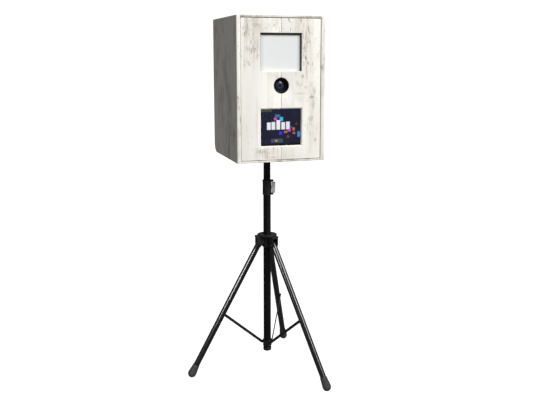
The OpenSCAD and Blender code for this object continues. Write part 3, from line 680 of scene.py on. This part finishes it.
low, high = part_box("door_vent")
rim = block("ventCover", low, high)
gap = turned("gap", [(vent["clear"] / 2, -8), (vent["clear"] / 2, 8)], 48)
fuse(rim, move(gap, inCab(0, vent["face"], vent["z"]), (0, 1, 0)), how="DIFFERENCE")
ease(rim, 0.7, 2, 40)
bars = []
for i in range(vent["bars"]):
    up = (i - (vent["bars"] - 1) / 2) * vent["step"]
    reach = math.sqrt((vent["clear"] / 2 + 0.8) ** 2 - (abs(up) + 1) ** 2)  # just into the rim
    bar = block("bar", Vector((-reach, -0.8, -4)) * mm, Vector((reach, 0.8, 4)) * mm)
    ease(bar, 0.5, 2, 40)
    bars.append(setDown(bar, Matrix.Translation(inCab(0, vent["face"] - 1.4, vent["z"] + up))
                        @ Matrix.Rotation(math.radians(-vent["tilt"]), 4, "X")))
joined(rim, *bars)
keep(rim, "steelBlack", "door", "door_vent")


def screwHead(name, at, toward, radius, proud):
    head = turned(name, [(radius, -0.6), (radius, 0.15 * proud), (radius * 0.82, 0.72 * proud),
                         (radius * 0.45, 0.95 * proud), (tiny, proud)], 24)
    arm, half, bed = radius * 0.6, 0.35, proud * 0.35
    cross = block("cross", Vector((-arm, -half, bed)) * mm, Vector((arm, half, 3)) * mm)
    other = block("cross", Vector((-half, -arm, bed)) * mm, Vector((half, arm, 3)) * mm)
    fuse(head, cross, other, how="DIFFERENCE")
    return move(head, at, toward, 20)


first = screwHead("screwHead", inCab(-vent["screws"], doorFace, vent["z"] - vent["screws"]),
                  (0, 1, 0), 2.6, 0.9)
apart = 2 * vent["screws"] * mm
ventScrews = [twin(first, "screwHead", (x, 0, z)) for x, z in ((apart, 0), (0, apart), (apart, apart))]
joined(first, *ventScrews)
first.name = "ventScrews"
keep(first, "zinc", "door")
hingeScrews = []
for foot in hinges["feet"]:
    for up in hinges["screws"]:
        hingeScrews.append(screwHead("hingeScrew", inCab(hinges["x"], doorFace, foot + up),
                                     (0, 1, 0), 3.2, 0.9))
joined(*hingeScrews)
hingeScrews[0].name = "hingeScrews"
keep(hingeScrews[0], "zinc", "door")
print("door fittings: done")

# pole


def tubeWall(outer, inner, foot, head, lip=0.6):
    return [(inner, foot + lip), (inner + lip, foot), (outer - lip, foot), (outer, foot + lip),
            (outer, head - lip), (outer - lip, head), (inner + lip, head), (inner, head - lip),
            (inner, foot + lip)]


def onPole(x, y, z):
    return Vector((poleX + x * mm, y * mm, z * mm))


def millimetres(node):
    low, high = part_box(node)
    return low.z / mm, high.z / mm


# outer and inner radius, and the body each tube moves with
tubes = {"lower": (19, 17.6, "base"), "upper": (17.5, 15.6, "mast")}
for name, (outer, inner, body) in tubes.items():
    foot, head = millimetres(f"{name}_tube")
    tube = turned(f"{name}Tube", tubeWall(outer, inner, foot, head), 64)
    keep(move(tube, onPole(0, 0, 0)), "pole", body, f"{name}_tube")

foot, head = millimetres("end_cap")
capProfile = [(tiny, foot), (17, foot), (19.8, foot + 0.7), (20.8, foot + 2.2), (21, foot + 4),
              (21, foot + 8), (20.2, foot + 8.8), (20.2, foot + 10), (21, foot + 10.8),
              (21, head - 1), (20.4, head), (19.05, head), (19.05, foot + 4.2), (tiny, foot + 4.2)]
cap = move(turned("endCap", capProfile, 48), onPole(0, 0, 0))
keep(cap, "plastic", "base", "end_cap")

clampAt = {"turn": -20, "low": 917, "high": 993, "mid": 954}


def around(turn, radius, z, across=0.0):
    a = math.radians(turn)
    return onPole(radius * math.cos(a) - across * math.sin(a),
                  radius * math.sin(a) + across * math.cos(a), z)


def outward(turn):
    return Vector((math.cos(math.radians(turn)), math.sin(math.radians(turn)), 0))


def turnOnPole(piece, turn):
    # for a piece made as if the pole stood at the origin and it reached out along X
    return setDown(piece, Matrix.Translation(onPole(0, 0, 0))
                   @ Matrix.Rotation(math.radians(turn), 4, "Z"))


def lugBlock(name, turn, low, high):
    return turnOnPole(block(name, Vector(low) * mm, Vector(high) * mm), turn)


lowZ, highZ = clampAt["low"], clampAt["high"]
sleeve = [(19.05, lowZ + 0.5), (19.8, lowZ), (22, lowZ), (23, lowZ + 1), (23, lowZ + 5),
          (22.2, lowZ + 6), (22.2, highZ - 12), (23, highZ - 11), (23, highZ - 1.5), (21.6, highZ),
          (18.2, highZ), (17.65, highZ - 0.6), (17.65, highZ - 7.9), (19.05, highZ - 8),
          (19.05, lowZ + 0.5)]
collar = move(turned("clampCollar", sleeve, 64), onPole(0, 0, 0))
upLug = lugBlock("lug", clampAt["turn"], (19.5, -9, highZ - 9), (33, 9, highZ))
downLug = lugBlock("lug", clampAt["turn"], (19.5, -9, lowZ), (33, 9, lowZ + 7))
for lug in (upLug, downLug):
    ease(lug, 2.2, 4, 40)
fuse(collar, upLug, downLug)
keep(collar, "plastic", "base", "clamp_collar")
lugScrew = screwHead("lugScrew", around(clampAt["turn"], 27.5, highZ - 1.0), (0, 0, 1), 3.2, 0.9)
keep(lugScrew, "zinc", "base")

knobBar = block("clampKnob", (-0.010, -0.028, 0), (0.010, 0.028, 0.019))
roundEdges(knobBar, lambda mid, along: abs(along.z) > 0.9, 9.8, 10)
pick(knobBar, "FACE", lambda mid, normal: normal.z > 0.9)
bpy.ops.mesh.inset(thickness=0.0028, depth=0)
bpy.ops.transform.translate(value=(0, 0, -0.0012))
leave()
ease(knobBar, 1.6, 3, 50)
shank = turned("shank", [(4, -5.6), (4, 1), (8.5, 1), (8.5, 0.2), (8.2, -0.4), (4.2, -0.4),
                         (4, -5.6)], 32)
joined(knobBar, shank)
out = outward(clampAt["turn"])
facing = Matrix(((-out.y, 0, out.x, 0), (out.x, 0, out.y, 0), (0, 1, 0, 0), (0, 0, 0, 1)))
setDown(knobBar, Matrix.Translation(around(clampAt["turn"], 23.6, clampAt["mid"])) @ facing)
keep(knobBar, "grey", "clamp_knob", "clamp_knob")
print("pole and clamp: done")

# hub

legs = {"left": 180, "rear": 60, "front": 300}
hubAt = {"pivot": 46, "z": 662, "low": 648, "high": 714, "knobTurn": 120, "knobZ": 684}
low, top = hubAt["low"], hubAt["high"]
hub = turned("hubCasting", [(19.1, low + 1), (20, low), (23.6, low), (25, low + 1.4), (25, top - 8),
                     (49, top - 8), (50, top - 6.6), (50, top - 2.6), (47.6, top - 0.4),
                     (44, top), (24, top), (20, top), (19.1, top - 1), (19.1, low + 1)], 64)
move(hub, onPole(0, 0, 0))
parts = []
for turn in legs.values():
    roof = lugBlock("roof", turn, (21, -20.6, top - 18), (60, 20.6, top - 7))
    ease(roof, 1.6, 3, 40)
    parts.append(roof)
    for side in (-1, 1):
        inner, outer = sorted((side * 15.6, side * 20.3))
        cheek = block("cheek", Vector((22, inner, 650)) * mm, Vector((58, outer, top - 9)) * mm)
        roundEdges(cheek, lambda mid, along: abs(along.y) > 0.9 and mid.z < 0.651 and mid.x > 0.05,
                   11.9, 10)
        roundEdges(cheek, lambda mid, along: abs(along.y) > 0.9 and mid.z < 0.651 and mid.x < 0.03,
                   20, 1)
        ease(cheek, 0.7, 2, 50)
        parts.append(turnOnPole(cheek, turn))
boss = turned("boss", [(10, 20), (10, 31), (9, 32), (4.1, 32), (4.1, 20)], 32)
parts.append(move(boss, around(hubAt["knobTurn"], 0, hubAt["knobZ"]), outward(hubAt["knobTurn"])))
fuse(hub, *parts)
keep(hub, "plastic", "hub", "hub")

bolts = []
for turn in legs.values():
    side = (-math.sin(math.radians(turn)), math.cos(math.radians(turn)), 0)
    bolt = turned("bolt", [(tiny, -24.6), (4, -24.5), (5.6, -23.9), (6.4, -22.4), (6.5, -20.7),
                           (4, -20.6), (4, 20.6), (6.5, 20.7), (6.5, 23.6), (5.8, 24.4),
                           (4, 24.6), (tiny, 24.6)], 32)
    bolts.append(move(bolt, around(turn, hubAt["pivot"], hubAt["z"]), side))
joined(*bolts)
bolts[0].name = "legBolts"
keep(bolts[0], "darkZinc", "hub", "hub_bolts")

knob = turned("hubKnob", [(tiny, 19.4), (4, 19.5), (4, 34), (11, 34), (13, 35.5), (13, 50.5),
                          (11.5, 52), (4, 52), (tiny, 51.4)], 40)
lobes = []
for i in range(5):
    lobe = turned("lobe", [(tiny, 35), (4.4, 35), (5.5, 36), (5.5, 50), (4.4, 51), (tiny, 51)], 24)
    a = math.radians(72 * i)
    lobes.append(setDown(lobe, Matrix.Translation(Vector((math.cos(a), math.sin(a), 0)) * 11 * mm)))
fuse(knob, *lobes)
ease(knob, 0.5, 2, 50)
move(knob, around(hubAt["knobTurn"], 0, hubAt["knobZ"]), outward(hubAt["knobTurn"]))
keep(knob, "plastic", "hub_knob", "hub_knob")
print("hub: done")

# legs, feet and braces

legAt = {"reach": 398, "ball": 17, "wide": 15, "share": 0.54, "footBall": 21}
tilt = math.atan2(legAt["reach"] - hubAt["pivot"], hubAt["z"] - legAt["ball"])
legLength = math.hypot(legAt["reach"] - hubAt["pivot"], hubAt["z"] - legAt["ball"])
braceAt = legAt["share"] * legLength


def downLeg(turn):
    return outward(turn) * math.sin(tilt) - Vector((0, 0, math.cos(tilt)))


def legPlace(turn):
    # the leg's own frame: its head is up and its brace side is -Y
    a = math.radians(turn)
    side = Vector((-math.sin(a), math.cos(a), 0))
    up = -downLeg(turn)
    out = side.cross(up)
    at = around(turn, hubAt["pivot"], hubAt["z"])
    return Matrix(((out.x, side.x, up.x, at.x), (out.y, side.y, up.y, at.y),
                   (out.z, side.z, up.z, at.z), (0, 0, 0, 1)))


def inLeg(piece, turn):
    return setDown(piece, legPlace(turn))


def leg(side, turn):
    wide = legAt["wide"]
    end = -legLength + 6
    tube = turned(f"leg.{side}", [(tiny, end), (wide - 0.6, end), (wide, end + 0.6), (wide, -33),
                                  (wide - 0.5, -32.4), (wide - 0.5, -31), (wide - 0.1, -30.6),
                                  (wide - 0.1, 9), (wide - 1, 11.2), (wide - 3, 12), (tiny, 12)], 48)
    pad = turned("pad", [(7, 0), (7, 16.2), (6.4, 16.8), (tiny, 16.8)], 32)
    move(pad, (0, 0, -braceAt * mm), (0, -1, 0))
    fuse(tube, pad)
    inLeg(tube, turn)
    return keep(tube, "tube", f"leg_{side}", f"leg_{side}")


def foot(side, turn):
    ball = legAt["footBall"]
    profile = [(tiny, -ball)]
    profile += [(ball * math.sin(math.radians(a)), -ball * math.cos(math.radians(a)))
                for a in range(10, 81, 10)]
    profile += [(ball, 0), (ball, 7), (20.1, 8), (20.1, 10), (20.8, 11), (20.2, 16), (19.2, 17),
                (19.2, 19), (19.6, 20), (18.9, 25), (18.0, 26), (18.0, 28), (18.4, 29),
                (17.4, 40), (17.2, 44), (17.0, 47.4), (16.6, 48), (15.1, 48), (15.1, 10),
                (tiny, 10)]
    boot = turned(f"foot.{side}", profile, 48)
    setDown(boot, Matrix.Translation((0, 0, -legLength * mm)))
    inLeg(boot, turn)
    choose(boot)
    bpy.ops.object.mode_set(mode="EDIT")
    bpy.ops.mesh.select_all(action="SELECT")
    bpy.ops.mesh.bisect(plane_co=(0, 0, 0), plane_no=(0, 0, 1), use_fill=True, clear_inner=True)
    leave()
    ease(boot, 0.4, 2, 35)
    return keep(boot, "foot", f"leg_{side}", f"foot_{side}")


bracePivot = {"r": 27, "z": 137, "outer": -20.2, "thick": 3, "wide": 14}
braceTopR = hubAt["pivot"] + braceAt * math.sin(tilt)
braceTopZ = hubAt["z"] - braceAt * math.cos(tilt)
braceLength = math.hypot(braceTopR - bracePivot["r"], braceTopZ - bracePivot["z"])
braceRise = math.atan2(braceTopZ - bracePivot["z"], braceTopR - bracePivot["r"])


def brace(side, turn):
    outer, half = bracePivot["outer"], bracePivot["wide"] / 2
    bar = block(f"brace.{side}", Vector((-half, outer, -half)) * mm,
                Vector((braceLength + half, outer + bracePivot["thick"], half)) * mm)
    roundEdges(bar, lambda mid, along: abs(along.y) > 0.9, half * 0.96, 8)
    groove = block("groove", Vector((16, outer - 2, -2.2)) * mm,
                   Vector((braceLength - 16, outer + 0.9, 2.2)) * mm)
    roundEdges(groove, lambda mid, along: abs(along.y) > 0.9, 2.1, 5)
    fuse(bar, groove, how="DIFFERENCE")
    ease(bar, 0.5, 2, 50)
    rivet = turned("rivet", [(5, -0.5), (5, 0.5), (4.2, 1.4), (2.4, 1.9), (tiny, 2.0)], 28)
    move(rivet, Vector((braceLength, outer, 0)) * mm, (0, -1, 0))
    stance = (Matrix.Translation(around(turn, bracePivot["r"], bracePivot["z"]))
              @ Matrix.Rotation(math.radians(turn), 4, "Z") @ Matrix.Rotation(-braceRise, 4, "Y"))
    for piece in (bar, rivet):
        setDown(piece, stance)
    rivet.name = f"braceRivet.{side}"
    keep(rivet, "darkZinc", f"brace_{side}")
    return keep(bar, "steelBlack", f"brace_{side}", f"brace_{side}")


for side, turn in legs.items():
    leg(side, turn)
    foot(side, turn)
    brace(side, turn)

ringLow = bracePivot["z"] - 17
ring = turned("braceCollar", [(19.05, ringLow + 0.6), (19.8, ringLow), (22, ringLow),
                              (23, ringLow + 1), (23, ringLow + 4), (22.2, ringLow + 5),
                              (22.2, ringLow + 27), (23, ringLow + 28), (23, ringLow + 31),
                              (22, ringLow + 32), (19.8, ringLow + 32), (19.05, ringLow + 31.4),
                              (19.05, ringLow + 0.6)], 64)
move(ring, onPole(0, 0, 0))
ears = []
for turn in legs.values():
    z = bracePivot["z"]
    ear = block("ear", Vector((14.2, -16.8, z - 7.6)) * mm, Vector((34, -12.8, z + 7.6)) * mm)
    roundEdges(ear, lambda mid, along: abs(along.y) > 0.9 and mid.x > 0.03, 7.3, 8)
    ease(ear, 0.5, 2, 50)
    ears.append(turnOnPole(ear, turn))
fuse(ring, *ears)
keep(ring, "steelBlack", "base", "brace_collar")
rivets = []
for turn in legs.values():
    toward = (math.sin(math.radians(turn)), -math.cos(math.radians(turn)), 0)
    rivet = turned("rivet", [(tiny, 10.8), (2.4, 10.9), (4.2, 11.4), (5, 12.3), (5, 12.8), (3, 12.9),
                             (3, 20.3), (5, 20.4), (5, 20.9), (4.2, 21.8), (2.4, 22.3), (tiny, 22.4)], 28)
    rivets.append(move(rivet, around(turn, bracePivot["r"], bracePivot["z"]), toward))
joined(*rivets)
rivets[0].name = "collarRivets"
keep(rivets[0], "darkZinc", "base", "collar_rivets")
print("legs, feet and braces: done")

# lens


def onLens(piece):
    # the lens is made upright with its front at the top
    return move(piece, inCab(0, 0, openings["lens"][1]), (0, -1, 0))


shroud = [(34, 209), (36.8, 209), (36.8, 222), (45, 222), (45, 225), (36.8, 225), (36.8, 234.2),
          (36.2, 235), (35, 235), (34.4, 234), (34.2, 226), (34, 224), (34, 209)]
keep(onLens(turned("lensShroud", shroud, 96)), "plastic", "cabinet", "lens_shroud")
barrel = [(tiny, 150), (33, 150), (33, 159.5), (32.5, 160), (30, 160), (30, 204.5), (32, 205),
          (32, 221.3), (31.4, 222), (30.4, 222), (30.1, 221), (29.5, 220.6), (29.1, 219.8),
          (28.5, 219.4), (28.1, 218.6), (27.5, 218.2), (27.1, 217.4), (26.4, 217), (26.1, 210),
          (tiny, 210)]
keep(onLens(turned("lensBarrel", barrel, 96)), "plastic", "cabinet", "lens_barrel")
glass = [(tiny, 210.6), (25.6, 210.6), (25.9, 211), (25.9, 212.2)]
glass += [(50 * math.sin(math.radians(a)), 169 + 50 * math.cos(math.radians(a)))
          for a in (30, 27, 24, 21, 18, 15, 12, 9, 6, 3)]
glass += [(tiny, 219)]
keep(onLens(turned("lensGlass", glass, 96)), "lens", "cabinet", "lens_glass")
print("lens: done")

# camera, lights and floor

shot = {"at": (-0.9129, -3.4096, 1.6077), "yaw": 17.31, "down": 9.0, "focal": 718.7,
        "rise": 169.4, "wide": 553, "high": 414, "sensor": 36}
cameraData = bpy.data.cameras.new("camera")
camera = bpy.data.objects.new("camera", cameraData)
bpy.context.scene.collection.objects.link(camera)
camera.location = shot["at"]
camera.rotation_euler = (math.radians(90 - shot["down"]), 0, -math.radians(shot["yaw"]))
cameraData.sensor_width = shot["sensor"]
cameraData.lens = shot["focal"] * shot["sensor"] / shot["wide"]
cameraData.shift_y = (shot["rise"] - shot["high"] / 2) / shot["wide"]
bpy.context.scene.camera = camera

light = {"ambient": 0.17, "backdrop": 1.05, "floor": 3.5, "softness": 30,
         "key": 3.70, "keyFrom": (0.42, -0.70, 0.62), "keySoftness": 28,
         "back": 2.3, "backFrom": (0.30, 0.85, 0.42),
         "strip": 62, "stripFrom": (-2.15, -1.55, 1.22), "stripAim": (0.05, 0, 0.6),
         "stripSize": (0.5, 0.6)}
sky = bpy.data.worlds.new("studio")
sky.use_nodes = True
bpy.context.scene.world = sky
skyNodes, skyLinks = sky.node_tree.nodes, sky.node_tree.links
seen = skyNodes.new("ShaderNodeLightPath")
strength = skyNodes.new("ShaderNodeMapRange")
strength.inputs["To Min"].default_value = light["ambient"]
strength.inputs["To Max"].default_value = light["backdrop"]
skyLinks.new(seen.outputs["Is Camera Ray"], strength.inputs["Value"])
skyLinks.new(strength.outputs["Result"], skyNodes["Background"].inputs["Strength"])
skyNodes["Background"].inputs["Color"].default_value = (1, 1, 1, 1)

bpy.ops.object.select_all(action="DESELECT")
bpy.ops.mesh.primitive_plane_add(size=60, location=(0, 0, -0.0005))
floor = bpy.context.object
floor.name = "floor"
floorFinish = Finish("paleFloor")
mottle = floorFinish.noise(floorFinish.place, 3, 4)
floor.data.materials.append(floorFinish.done(
    Base_Color=floorFinish.blend(mottle, (0.96, 0.96, 0.96), (0.94, 0.94, 0.94)), Roughness=0.9))
floor.visible_diffuse = False          # the shaded side and the black tubes stay dark
floor.visible_glossy = False


def reached(name, pieces, state="INCLUDE"):
    # what a lamp lights, or what it leaves out
    group = bpy.data.collections.new(name)
    for piece in pieces:
        group.objects.link(piece)
    for linked in group.collection_objects:
        linked.light_linking.link_state = state
    return group


def addLamp(name, kind, at, aim, power, receivers, size):
    data = bpy.data.lights.new(name, kind)
    data.energy = power
    if kind == "SUN":
        data.angle = math.radians(size)
    else:
        data.shape = "RECTANGLE"
        data.size, data.size_y = size
    lamp = bpy.data.objects.new(name, data)
    bpy.context.scene.collection.objects.link(lamp)
    lamp.location = at
    lamp.rotation_euler = (Vector(aim) - Vector(at)).to_track_quat("-Z", "Y").to_euler()
    lamp.light_linking.receiver_collection = receivers
    return lamp


meshes = [piece for piece in bpy.context.scene.objects if piece.type == "MESH"]
stand = [piece for piece in meshes
         if min(corner[2] for corner in piece.bound_box) < floorOfCab - 0.05]
legPieces = [piece for piece in meshes if piece.name.startswith(("leg.", "foot."))]
centre = (0, 0, 0)
addLamp("key", "SUN", Vector(light["keyFrom"]) * 5, centre, light["key"],
        reached("allButFloor", [floor], "EXCLUDE"), light["keySoftness"])
addLamp("back", "SUN", Vector(light["backFrom"]) * 5, centre, light["back"],
        reached("allButStand", stand, "EXCLUDE"), light["softness"])
overFloor = addLamp("overFloor", "SUN", (0, 0, 5), centre, light["floor"],
                    reached("onlyFloor", [floor]), light["softness"])
overFloor.data.use_shadow = False
addLamp("strip", "AREA", light["stripFrom"], light["stripAim"], light["strip"],
        reached("onlyLegs", legPieces), light["stripSize"])
bpy.context.scene.view_settings.view_transform = "Standard"
print("camera and lights: done")
